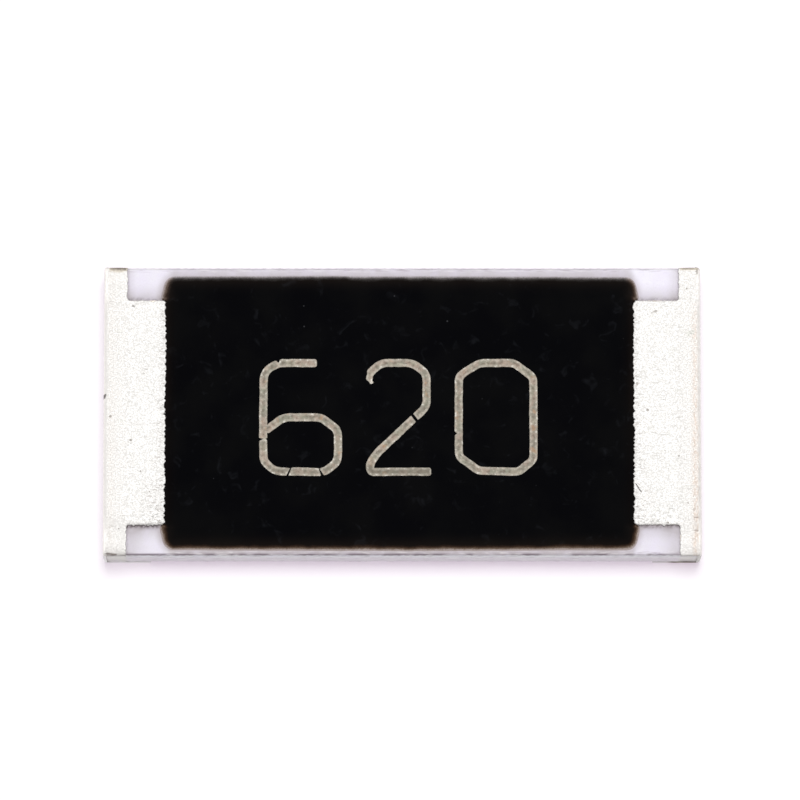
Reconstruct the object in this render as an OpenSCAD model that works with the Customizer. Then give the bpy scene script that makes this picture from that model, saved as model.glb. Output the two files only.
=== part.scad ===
// Thick-film chip resistor in the 2512 size, built up layer by layer as the real one is printed and plated.
// Millimetres. +X runs along the chip and +Z up.
// The origin is the middle of the footprint, on the surface that the chip rests on.

/* [Ceramic body] */
// Length of the chip over its plated ends
chip_l = 6.35; // [5.2:0.01:7.6]
// Width of the ceramic
body_w = 3.12; // [2.6:0.01:3.7]
// Thickness of the ceramic
body_t = 0.47; // [0.35:0.01:0.65]
// Height of the slanted snap groove left along each top edge
groove_h = 0.09; // [0.05:0.005:0.12]
// Depth of that groove into the edge
groove_d = 0.018; // [0.01:0.001:0.025]
// Height of the smaller snap groove along each bottom edge
back_groove_h = 0.04; // [0.02:0.005:0.06]
// Depth of the smaller snap groove
back_groove_d = 0.01; // [0.005:0.001:0.015]

/* [Printed electrodes] */
// Length of the terminal seen on top, from the chip's end to the black coat
land_l = 0.67; // [0.5:0.01:0.85]
// Bare ceramic corner beside the terminal, across the chip
land_inset = 0.36; // [0.25:0.01:0.45]
// Length of the electrode that goes on under the black coat
electrode_under_l = 0.35; // [0.27:0.01:0.5]
// Length of the terminal on the underside
back_land_l = 0.5; // [0.35:0.01:0.65]
// Thickness of the printed silver electrodes
electrode_t = 0.012; // [0.008:0.001:0.018]
// Distance that everything printed on top lies off centre across the chip, towards the feet of the digits
print_drop = 0.015; // [0:0.005:0.04]

/* [Plated ends] */
// Length of the end metal that wraps onto the top, over the bare corners
wrap_l = 0.225; // [0.15:0.005:0.3]
// Thickness of the end film
edge_film_t = 0.01; // [0.006:0.001:0.015]
// Thickness of the nickel layer
nickel_t = 0.006; // [0.004:0.001:0.01]
// Thickness of the tin layer
tin_t = 0.01; // [0.006:0.001:0.015]
// Rounding of the end film where it turns over the chip's end
turn_r = 0.025; // [0.015:0.001:0.035]

/* [Resistive element] */
// Thickness of the resistor film
resistor_t = 0.012; // [0.008:0.001:0.018]
// Length of the film that lies on each electrode
resistor_lap = 0.2; // [0.12:0.01:0.24]
// Margin of electrode left bare beside the film
resistor_margin = 0.1; // [0.05:0.01:0.2]
// Length of the slope where the film steps down to the ceramic
step_slope = 0.03; // [0.015:0.005:0.05]
// Thickness of the glass over the film
glass_t = 0.01; // [0.006:0.001:0.015]
// Margin of the glass round the film
glass_margin = 0.06; // [0.03:0.01:0.08]
// Width of the laser trim cut
trim_kerf = 0.05; // [0.03:0.005:0.08]
// Distance that the trim cut runs in from the film's edge
trim_reach = 1; // [0.5:0.05:1.3]
// Length of the cut's second leg, along the chip
trim_leg_l = 0.8; // [0.4:0.05:1.1]
// Distance of the cut from the chip's middle
trim_start = 0.7; // [0.3:0.05:0.9]

/* [Black coat] */
// Thickness of the coat over the glass
cover_t = 0.016; // [0.01:0.001:0.03]
// Bare ceramic along each long edge
coat_margin = 0.103; // [0.06:0.001:0.15]
// Radius of the coat's corners
coat_corner_r = 0.135; // [0.12:0.005:0.25]
// Width of the rounded shoulder round the coat
coat_shoulder = 0.1; // [0.06:0.005:0.11]
// Distance that the coat is printed off centre, towards the left end
coat_shift = 0.024; // [0:0.002:0.04]

/* [Value marking] */
// Height of a digit between the middles of its strokes
digit_h = 1.17; // [0.9:0.01:1.5]
// Width of the 6 and the 0 between the middles of their strokes
digit_w = 0.795; // [0.6:0.005:0.85]
// Width of the 2 between the middles of its strokes
narrow_digit_w = 0.6; // [0.45:0.005:0.75]
// Distance from one digit's middle to the next
digit_pitch = 1.04; // [0.95:0.01:1.3]
// Width of a stroke
stroke_w = 0.09; // [0.06:0.005:0.12]
// Thickness of the ink
ink_t = 0.008; // [0.005:0.001:0.012]
// Width of the cracks in the ink
crack_w = 0.016; // [0.01:0.002:0.03]
// Distance of the number to the left of the middle
number_left = 0.036; // [0:0.002:0.06]
// Distance of the number below the middle of the coat
number_down = 0.057; // [0:0.001:0.1]

/* [Hidden] */

// Overrun of every cut past the solid that it cuts
overrun = 0.05;
// Facets of a quarter turn
arc_steps = 6;

// Growth of the plated layers over the end film
nickel_grow = nickel_t;
tin_grow = nickel_t + tin_t;

// Levels of the ceramic's faces, and where the ceramic ends
bottom_z = electrode_t + edge_film_t + tin_grow;
top_z = bottom_z + body_t;
body_half_l = chip_l / 2 - edge_film_t - tin_grow;
body_half_w = body_w / 2;

// Printed electrodes
land_w = body_w - 2 * land_inset;
electrode_end = body_half_l - groove_d;
electrode_start = chip_l / 2 - land_l - electrode_under_l;
back_electrode_start = chip_l / 2 - back_land_l + tin_grow;

// Where the end film stops on top
wrap_start = chip_l / 2 - wrap_l + tin_grow;

// Resistor film and glass
resistor_half_l = electrode_start + resistor_lap;
resistor_half_w = land_w / 2 - resistor_margin;
glass_half_l = resistor_half_l + glass_margin;
glass_half_w = resistor_half_w + glass_margin;

// Black coat
coat_h = electrode_t + resistor_t + glass_t + cover_t;
coat_half_l = chip_l / 2 - land_l;
coat_half_w = body_half_w - coat_margin;
coat_top_z = top_z + coat_h;

// Middle lines of the digits, in shares of a digit's width and height from its lower left corner
six_ring_shares = [
    [0.66, 1], [0.18, 1], [0, 0.905], [0, 0.1], [0.17, 0],
    [0.8, 0], [1, 0.1], [1, 0.385], [0.77, 0.5], [0.45, 0.5]
];
six_branch_shares = [[0.55, 0.5], [0.265, 0.5], [0.03, 0.38]];
two_shares = [
    [0, 0.86], [0, 0.91], [0.19, 1], [0.76, 1], [1, 0.9], [1, 0.6],
    [0.14, 0.18], [0, 0.075], [0, 0], [1.01, 0]
];
zero_shares = [[0, 0.87], [0.29, 1], [0.74, 1], [1, 0.865], [1, 0.12], [0.8, 0], [0.26, 0], [0, 0.14]];
// Each crack in the ink: its place in the same shares, and its turn from upright in degrees
six_crack_shares = [[0.34, 0], [0.76, 0]];
six_crack_turns = [-22, 18];
two_crack_shares = [[0.785, 0.49]];
two_crack_turns = [48];

// Points along an arc from angle a0 to angle a1
function arc_points(cx, cy, r, a0, a1) = [
    for (i = [0:arc_steps])
        let (a = a0 + (a1 - a0) * i / arc_steps) [cx + r * cos(a), cy + r * sin(a)]
];

// Outline of a rectangle with rounded corners, from its half sizes
function rounded_outline(half_l, half_w, r) = concat(
    arc_points(half_l - r, half_w - r, r, 0, 90),
    arc_points(r - half_l, half_w - r, r, 90, 180),
    arc_points(r - half_l, r - half_w, r, 180, 270),
    arc_points(half_l - r, r - half_w, r, 270, 360)
);

// Section of the ceramic with its snap grooves, from its half width
function grooved_section(half) = [
    [back_groove_d - half, bottom_z], [half - back_groove_d, bottom_z], [half, bottom_z + back_groove_h],
    [half, top_z - groove_h], [half - groove_d, top_z], [groove_d - half, top_z],
    [-half, top_z - groove_h], [-half, bottom_z + back_groove_h]
];

// One side of the end metal's crosswise section, grown by g: it follows the snap grooves
function metal_side(g) = [
    [body_half_w - back_groove_d + g, -overrun], [body_half_w - back_groove_d + g, bottom_z],
    [body_half_w + g, bottom_z + back_groove_h], [body_half_w + g, top_z - groove_h],
    [body_half_w - groove_d + g, top_z], [body_half_w - groove_d + g, top_z + coat_h]
];

// The whole of that section
function metal_section(g) =
    let (side = metal_side(g), last = len(side) - 1)
        concat(side, [for (i = [last:-1:0]) [-side[i][0], side[i][1]]]);

// Lengthwise section of the end metal on top, grown by g, up to the level z
function upper_turn(g, z) = concat(
    [[wrap_start - g, (bottom_z + top_z) / 2], [body_half_l + edge_film_t + g, (bottom_z + top_z) / 2]],
    arc_points(body_half_l + edge_film_t - turn_r, z - turn_r, turn_r + g, 0, 90),
    [[wrap_start - g, z + g]]
);

// The same below, where the end metal covers the whole back electrode
function lower_turn(g, z) = concat(
    [[back_electrode_start - g, (bottom_z + top_z) / 2], [back_electrode_start - g, z - g]],
    arc_points(body_half_l + edge_film_t - turn_r, z + turn_r, turn_r + g, 270, 360),
    [[body_half_l + edge_film_t + g, (bottom_z + top_z) / 2]]
);

// Draws a lengthwise section across the chip
module across(width) {
    rotate([90, 0, 0])
        linear_extrude(height = width, center = true)
            children();
}

// Turns a right-hand piece over to the left end
module at_end(side) {
    if (side > 0) children();
    else mirror([1, 0, 0]) children();
}

// Box between two corners
module block(low, high) {
    translate(low) cube(high - low);
}

// Moves a printed piece to where the prints lie across the chip
module printed() {
    translate([0, -print_drop, 0]) children();
}

module top_electrode_solid() {
    printed() block([electrode_start, -land_w / 2, top_z], [electrode_end, land_w / 2, top_z + electrode_t]);
}

module back_electrode_solid() {
    block(
        [back_electrode_start, back_groove_d - body_half_w, bottom_z - electrode_t],
        [body_half_l - back_groove_d, body_half_w - back_groove_d, bottom_z]
    );
}

// Everything inside the outer surface of the end film, grown by g
module film_blank(g) {
    intersection() {
        across(body_w + 2 * (g + overrun)) {
            polygon(upper_turn(g, top_z + edge_film_t));
            polygon(lower_turn(g, bottom_z - electrode_t - edge_film_t));
        }
        rotate([90, 0, 90])
            linear_extrude(height = chip_l + 2 * overrun, center = true)
                polygon(metal_section(g));
    }
    printed()
        across(land_w + 2 * (edge_film_t + g))
            polygon(upper_turn(g, top_z + electrode_t + edge_film_t));
}

// The same with the land, where the plating covers the top electrode as far as the black coat
module end_blank(side, g) {
    land_end = coat_half_l - side * coat_shift;
    film_blank(g);
    printed()
        block([land_end, -land_w / 2 - g, top_z], [wrap_start, land_w / 2 + g, top_z + electrode_t + g]);
}

// The ceramic's lengthwise section, run out past both long sides
module body_core() {
    across(body_w + 2 * (tin_grow + overrun)) polygon(grooved_section(body_half_l));
}

// One plated layer between two stages of growth
module plated_layer(side, from_grow, to_grow) {
    difference() {
        end_blank(side, to_grow);
        end_blank(side, from_grow);
        body_core();
    }
}

// Laser cut in the shape of an L, in from the film's near edge and then along the chip
module trim_cut() {
    edge_y = -glass_half_w - overrun;
    turn_y = trim_reach - resistor_half_w;
    low_z = top_z - overrun;
    high_z = top_z + coat_h + overrun;
    printed() {
        block([-trim_start - trim_kerf / 2, edge_y, low_z], [-trim_start + trim_kerf / 2, turn_y, high_z]);
        block(
            [-trim_start - trim_kerf / 2, turn_y - trim_kerf, low_z],
            [trim_leg_l - trim_start + trim_kerf / 2, turn_y, high_z]
        );
    }
}

// Film of thickness t that lies on the ceramic and climbs onto both electrodes
module climbing_film(half_l, half_w, t) {
    printed() across(2 * half_w) polygon([
        [-half_l, top_z], [half_l, top_z], [half_l, top_z + electrode_t + t],
        [electrode_start - t, top_z + electrode_t + t], [electrode_start - t - step_slope, top_z + t],
        [step_slope + t - electrode_start, top_z + t], [t - electrode_start, top_z + electrode_t + t],
        [-half_l, top_z + electrode_t + t]
    ]);
}

module both_top_electrodes() {
    for (side = [-1, 1]) at_end(side) top_electrode_solid();
}

module resistor_solid() {
    difference() {
        climbing_film(resistor_half_l, resistor_half_w, resistor_t);
        both_top_electrodes();
        trim_cut();
    }
}

module glass_solid() {
    difference() {
        climbing_film(glass_half_l, glass_half_w, resistor_t + glass_t);
        climbing_film(resistor_half_l, resistor_half_w, resistor_t);
        both_top_electrodes();
        trim_cut();
    }
}

// Printed paste with rounded corners, whose shoulder is a quarter of an ellipse
module slumped_pad(half_l, half_w, r, h, shoulder) {
    rings = [
        for (i = [0:arc_steps])
            let (a = 90 * i / arc_steps, d = shoulder * (1 - cos(a)))
                [for (p = rounded_outline(half_l - d, half_w - d, r - d)) [p[0], p[1], h * sin(a)]]
    ];
    n = len(rings[0]);
    polyhedron(
        points = [for (ring = rings) for (p = ring) p],
        faces = concat(
            [[for (j = [0:n - 1]) j]],
            [for (i = [0:arc_steps - 1]) for (j = [0:n - 1])
                [i * n + j, (i + 1) * n + j, (i + 1) * n + (j + 1) % n, i * n + (j + 1) % n]],
            [[for (j = [n - 1:-1:0]) arc_steps * n + j]]
        )
    );
}

function unit(v) = v / norm(v);
function left_of(v) = [-v[1], v[0]];

// Mitred corner at a distance d to the left of the point p, on a line that comes from a and goes on to b
function mitre(a, p, b, d) =
    let (
        after = left_of(unit(b - p)),
        bisector = unit(left_of(unit(p - a)) + after)
    )
        p + bisector * d / (bisector * after);

// Round end of a stroke at the point p, where the middle line comes from a
function round_end(a, p) =
    let (heading = atan2(p[1] - a[1], p[0] - a[0]))
        arc_points(p[0], p[1], stroke_w / 2, heading + 90, heading - 90);

// One side of a closed middle line
function closed_side(line, d) =
    let (n = len(line))
        [for (i = [0:n - 1]) mitre(line[(i + n - 1) % n], line[i], line[(i + 1) % n], d)];

// Stroke of ink along an open middle line
module stroke(line) {
    last = len(line) - 1;
    polygon(concat(
        [for (i = [1:last - 1]) mitre(line[i - 1], line[i], line[i + 1], stroke_w / 2)],
        round_end(line[last - 1], line[last]),
        [for (i = [last - 1:-1:1]) mitre(line[i - 1], line[i], line[i + 1], -stroke_w / 2)],
        round_end(line[1], line[0])
    ));
}

// Stroke of ink round a closed middle line
module closed_stroke(line) {
    difference() {
        polygon(closed_side(line, stroke_w / 2));
        polygon(closed_side(line, -stroke_w / 2));
    }
}

// One digit of ink on the coat: place counts the digits from the middle one
module digit(place, width, crack_shares, crack_turns) {
    left = place * digit_pitch - width / 2 - number_left;
    foot = -digit_h / 2 - number_down;
    printed() translate([left, foot, coat_top_z]) difference() {
        linear_extrude(height = ink_t) children();
        for (i = [0:1:len(crack_shares) - 1])
            translate([crack_shares[i][0] * width, crack_shares[i][1] * digit_h, 0])
                rotate([0, 0, crack_turns[i]])
                    block([-crack_w / 2, -stroke_w, -overrun], [crack_w / 2, stroke_w, ink_t + overrun]);
    }
}

function sized(shares, width) = [for (s = shares) [s[0] * width, s[1] * digit_h]];

module ceramic_body() {
    color([0.93, 0.91, 0.96]) intersection() {
        across(body_w) polygon(grooved_section(body_half_l));
        rotate([90, 0, 90])
            linear_extrude(height = 2 * body_half_l, center = true)
                polygon(grooved_section(body_half_w));
    }
}

module top_electrode(side) {
    color([0.85, 0.84, 0.8]) at_end(side) top_electrode_solid();
}

module back_electrode(side) {
    color([0.85, 0.84, 0.8]) at_end(side) back_electrode_solid();
}

module edge_film(side) {
    color([0.6, 0.6, 0.6]) at_end(side) difference() {
        film_blank(0);
        body_core();
        top_electrode_solid();
        back_electrode_solid();
    }
}

module nickel_layer(side) {
    color([0.72, 0.7, 0.66]) at_end(side) plated_layer(side, 0, nickel_grow);
}

module tin_plating(side) {
    color([0.96, 0.96, 0.94]) at_end(side) plated_layer(side, nickel_grow, tin_grow);
}

module resistor_film() {
    color([0.16, 0.15, 0.15]) resistor_solid();
}

module glass_coat() {
    color([0.35, 0.5, 0.42]) glass_solid();
}

module black_coat() {
    color([0.05, 0.05, 0.05]) difference() {
        printed() translate([-coat_shift, 0, top_z])
            slumped_pad(coat_half_l, coat_half_w, coat_corner_r, coat_h, coat_shoulder);
        both_top_electrodes();
        resistor_solid();
        glass_solid();
    }
}

module digit_6() {
    color([0.7, 0.67, 0.6]) digit(-1, digit_w, six_crack_shares, six_crack_turns) {
        stroke(sized(six_ring_shares, digit_w));
        stroke(sized(six_branch_shares, digit_w));
    }
}

module digit_2() {
    color([0.7, 0.67, 0.6]) digit(0, narrow_digit_w, two_crack_shares, two_crack_turns)
        stroke(sized(two_shares, narrow_digit_w));
}

module digit_0() {
    color([0.7, 0.67, 0.6]) digit(1, digit_w, [], [])
        closed_stroke(sized(zero_shares, digit_w));
}

ceramic_body();
top_electrode(-1);  // top_electrode_left
top_electrode(1);  // top_electrode_right
back_electrode(-1);  // back_electrode_left
back_electrode(1);  // back_electrode_right
resistor_film();
glass_coat();
black_coat();
edge_film(-1);  // edge_film_left
edge_film(1);  // edge_film_right
nickel_layer(-1);  // nickel_layer_left
nickel_layer(1);  // nickel_layer_right
tin_plating(-1);  // tin_plating_left
tin_plating(1);  // tin_plating_right
digit_6();
digit_2();
digit_0();
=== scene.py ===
import math

import bpy
import numpy as np
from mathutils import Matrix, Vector, noise
from mathutils.geometry import delaunay_2d_cdt


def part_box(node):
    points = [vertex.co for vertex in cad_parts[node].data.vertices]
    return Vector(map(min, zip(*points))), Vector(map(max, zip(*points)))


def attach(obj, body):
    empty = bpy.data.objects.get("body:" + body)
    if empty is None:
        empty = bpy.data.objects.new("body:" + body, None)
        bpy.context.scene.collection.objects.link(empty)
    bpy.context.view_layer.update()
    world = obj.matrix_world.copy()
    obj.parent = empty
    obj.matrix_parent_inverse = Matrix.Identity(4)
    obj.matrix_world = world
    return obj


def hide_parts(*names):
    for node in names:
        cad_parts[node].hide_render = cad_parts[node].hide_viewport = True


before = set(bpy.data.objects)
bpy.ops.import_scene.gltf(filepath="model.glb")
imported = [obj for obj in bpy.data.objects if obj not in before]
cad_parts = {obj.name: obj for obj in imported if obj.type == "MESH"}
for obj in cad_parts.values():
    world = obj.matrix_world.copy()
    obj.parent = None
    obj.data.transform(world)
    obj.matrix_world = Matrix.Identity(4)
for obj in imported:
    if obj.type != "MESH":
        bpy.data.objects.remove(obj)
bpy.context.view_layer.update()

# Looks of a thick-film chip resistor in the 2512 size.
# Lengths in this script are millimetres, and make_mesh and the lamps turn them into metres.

MM = 0.001


def box_mm(node):
    low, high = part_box(node)
    return np.array(low) / MM, np.array(high) / MM


# Sizes read from the frame
BODY_LOW, BODY_HIGH = box_mm("ceramic_body")
COAT_LOW, COAT_HIGH = box_mm("black_coat")
INK_LOW, INK_HIGH = box_mm("digit_0")
ELECTRODE_LOW, ELECTRODE_HIGH = box_mm("top_electrode_right")
BACK_LOW = box_mm("back_electrode_right")[0]
FILM_HIGH = box_mm("edge_film_right")[1]
TIN_HIGH = box_mm("tin_plating_right")[1]
TOP_Z = BODY_HIGH[2]
BODY_HALF_W = BODY_HIGH[1]
TIN_GROW = TIN_HIGH[0] - FILM_HIGH[0]
CHIP_HALF_L = TIN_HIGH[0]
PRINT_Y = (COAT_LOW[1] + COAT_HIGH[1]) / 2
LAND_HALF_W = (ELECTRODE_HIGH[1] - ELECTRODE_LOW[1]) / 2 + TIN_GROW
LAND_Z = ELECTRODE_HIGH[2] + TIN_GROW
COAT_EDGE_X = {"left": -COAT_LOW[0], "right": COAT_HIGH[0]}

# Snap grooves along the ceramic's long edges
GROOVE_H = 0.09
GROOVE_D = 0.018
BACK_GROOVE_H = 0.04
BACK_GROOVE_D = 0.01


def side_half_width(z):
    """Half the ceramic's width at a level."""
    levels = [BODY_LOW[2], BODY_LOW[2] + BACK_GROOVE_H, TOP_Z - GROOVE_H, TOP_Z]
    insets = [BACK_GROOVE_D, 0, 0, GROOVE_D]
    return BODY_HALF_W - np.interp(z, levels, insets)


def smooth(value, low, high):
    """Smooth step from 0 at low to 1 at high."""
    t = np.clip((np.asarray(value, float) - low) / (high - low), 0, 1)
    return t * t * (3 - 2 * t)


def fall(value, low, high):
    """Smooth step from 1 at low to 0 at high."""
    return 1 - smooth(value, low, high)


# Ripples: how much weaker and smaller each octave gets, their number, and how far apart two seeds lie
OCTAVES = (0.9, 2.1, 2)
SEED_STEP = 7.3


def ripple(x, y, size, seed):
    """Smooth noise between about -1 and 1 at points in millimetres, with features of the given size."""
    xs, ys = np.broadcast_arrays(np.asarray(x, float), np.asarray(y, float))
    places = [Vector((a / size, b / size, SEED_STEP * seed)) for a, b in zip(xs.ravel(), ys.ravel())]
    values = [noise.fractal(place, *OCTAVES, noise_basis="PERLIN_ORIGINAL") for place in places]
    return np.array(values).reshape(xs.shape)


def add_object(name, data):
    """A new object in the scene with this mesh, lamp or camera."""
    thing = bpy.data.objects.new(name, data)
    bpy.context.scene.collection.objects.link(thing)
    return thing


def make_mesh(name, points, faces, material, floats=None, flat=False):
    """A mesh piece from points in millimetres, with named numbers on its points for the material.

    A shell's numbers are those of its outer points, and count for its inner ones too.
    """
    mesh = bpy.data.meshes.new(name)
    mesh.from_pydata((np.asarray(points, float) * MM).tolist(), [], faces)
    mesh.validate()
    for key, values in (floats or {}).items():
        layer = mesh.attributes.new(key, "FLOAT", "POINT")
        layer.data.foreach_set("value", np.tile(values, len(points) // len(values)).astype(np.float32))
    mesh.polygons.foreach_set("use_smooth", [not flat] * len(mesh.polygons))
    mesh.materials.append(material)
    return add_object(name, mesh)


# Shader building

class Nodes:
    """A node tree, and the ways to add nodes to it and to feed their inputs."""

    def __init__(self, tree):
        self.tree = tree

    def link(self, source, target):
        """Gives an input a number, a vector, a colour of three shares or another node's output."""
        if isinstance(source, (int, float)):
            target.default_value = source
        elif isinstance(source, tuple):
            target.default_value = source if target.type == "VECTOR" else (*source, 1.0)
        else:
            self.tree.links.new(source, target)

    def node(self, kind, inputs, **settings):
        """A new node with its settings, and its inputs by name or number."""
        node = self.tree.nodes.new("ShaderNode" + kind)
        for key, value in settings.items():
            setattr(node, key, value)
        for key, source in inputs.items():
            self.link(source, node.inputs[key])
        return node

    def math(self, operation, first, second):
        return self.node("Math", {0: first, 1: second}, operation=operation).outputs["Value"]

    def seen_by(self, first, *others):
        """1 for light paths of the given kinds, and 0 for all others."""
        path = self.node("LightPath", {}).outputs
        seen = path[first]
        for kind in others:
            seen = self.math("MAXIMUM", seen, path[kind])
        return seen


class Shader(Nodes):
    """A Principled material, mixed from noise and from the numbers stored on the mesh."""

    def __init__(self, name, roughness, metallic=0.0, specular=0.5):
        self.material = bpy.data.materials.new(name)
        self.material.use_nodes = True
        super().__init__(self.material.node_tree)
        self.bsdf = self.tree.nodes["Principled BSDF"]
        self.base = None
        self.set("Roughness", roughness)
        self.set("Metallic", metallic)
        self.set("Specular IOR Level", specular)
        self.place = self.node("TexCoord", {}).outputs["Object"]

    def set(self, name, source):
        self.link(source, self.bsdf.inputs[name])

    def millimetres(self, stretch=(1, 1, 1), shift=0.0):
        """Object coordinates in millimetres, each divided by its stretch."""
        scale = tuple(1 / (MM * s) for s in stretch)
        inputs = {"Vector": self.place, "Location": (shift, shift, shift), "Scale": scale}
        return self.node("Mapping", inputs).outputs["Vector"]

    def noise(self, size, detail=3.0, shift=0.0, stretch=(1, 1, 1), distortion=0.0):
        """Noise around 0.5, whose largest features have the given size in millimetres."""
        inputs = {"Vector": self.millimetres(stretch, shift), "Scale": 1 / size}
        return self.node("TexNoise", {**inputs, "Detail": detail, "Distortion": distortion}).outputs["Fac"]

    def cells(self, size, shift=0.0):
        """Distance to the nearest cell centre in cell sizes, and a random number for each cell."""
        cell = self.node("TexVoronoi", {"Vector": self.millimetres(shift=shift), "Scale": 1 / size})
        split = self.node("SeparateColor", {"Color": cell.outputs["Color"]})
        return cell.outputs["Distance"], split.outputs["Red"]

    def height(self):
        """Height over the floor in millimetres."""
        return self.node("SeparateXYZ", {"Vector": self.millimetres()}).outputs["Z"]

    def number(self, name):
        """The number stored on the mesh's points under that name."""
        return self.node("Attribute", {}, attribute_name=name).outputs["Fac"]

    def times(self, first, second):
        return self.math("MULTIPLY", first, second)

    def plus(self, first, second):
        return self.math("ADD", first, second)

    def minus(self, first, second):
        return self.math("SUBTRACT", first, second)

    def step(self, value, low, high, start=0.0, end=1.0):
        """Smooth step of a value, from start at low to end at high."""
        inputs = {"Value": value, "From Min": low, "From Max": high, "To Min": start, "To Max": end}
        return self.node("MapRange", inputs, interpolation_type="SMOOTHSTEP").outputs["Result"]

    def mix(self, share, first, second):
        """Colour from first, at a share of 0, to second, at a share of 1."""
        return self.node("Mix", {"Factor": share, 6: first, 7: second}, data_type="RGBA").outputs[2]

    def paint(self, share, color, strength=None):
        """Mixes a share of another colour, times its strength, into the base colour."""
        if strength is not None:
            share = self.times(share, strength)
        self.base = self.mix(share, self.base, color)
        self.set("Base Color", self.base)

    def spot(self, place, half_size, turn, fray):
        """A ragged oval spot, 1 inside it and 0 outside, with its place and half sizes in millimetres."""
        inputs = {
            "Vector": self.place,
            "Location": (place[0] * MM, place[1] * MM, 0.0),
            "Rotation": (0.0, 0.0, turn),
            "Scale": (half_size[0] * MM, half_size[1] * MM, 1.0),
        }
        local = self.node("Mapping", inputs, vector_type="TEXTURE").outputs["Vector"]
        length = self.node("VectorMath", {0: local}, operation="LENGTH").outputs["Value"]
        return self.step(self.plus(length, fray), 0.7, 1.1, 1.0, 0.0)

    def relief(self, height, depth):
        """Bump whose full height is depth millimetres."""
        self.set("Normal", self.node("Bump", {"Distance": depth * MM, "Height": height}).outputs["Normal"])


def srgb(red, green, blue):
    """Linear colour of a screen colour given from 0 to 255."""
    shares = [c / 255 for c in (red, green, blue)]
    return tuple(((c + 0.055) / 1.055) ** 2.4 if c > 0.04045 else c / 12.92 for c in shares)


# Materials

TIN_PALE = (0.586, 0.576, 0.563)
TIN_DULL = (0.578, 0.568, 0.553)
TIN_WRAP = (0.556, 0.541, 0.524)
# Colour of the painted highlight where the tin turns over the end
TIN_TURN_HIGHLIGHT = (0.90, 0.87, 0.84)
TIN_WORN = (0.50, 0.438, 0.392)

# Single marks on the tin: place, half sizes, turn in degrees, screen colour and strength.
# They fade out between these two depths below the top.
MARKS_FADE = (0.1, 0.04)
TIN_MARKS = [
    ((-2.866, 1.132), (0.024, 0.013), 0, (120, 116, 112), 0.75),
    ((-3.168, 0.155), (0.022, 0.03), 0, (84, 78, 76), 0.8),
    ((2.520, -0.832), (0.052, 0.0075), -58, (66, 60, 58), 0.9),
    ((2.695, 1.072), (0.04, 0.012), 20, (130, 124, 118), 0.6),
    ((3.074, 0.845), (0.048, 0.03), 10, (178, 178, 172), 0.7),
    ((3.120, -1.144), (0.042, 0.009), 0, (120, 108, 100), 0.6),
    ((3.153, 1.512), (0.013, 0.036), 0, (104, 94, 86), 0.6),
    ((-3.095, -1.532), (0.058, 0.015), 0, (84, 74, 70), 0.8),
    ((3.106, -1.060), (0.018, 0.026), 0, (160, 150, 142), 0.6),
    ((3.128, -1.285), (0.022, 0.014), 0, (140, 126, 118), 0.6),
    ((3.100, -1.375), (0.03, 0.010), -20, (160, 148, 140), 0.5),
]


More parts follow.
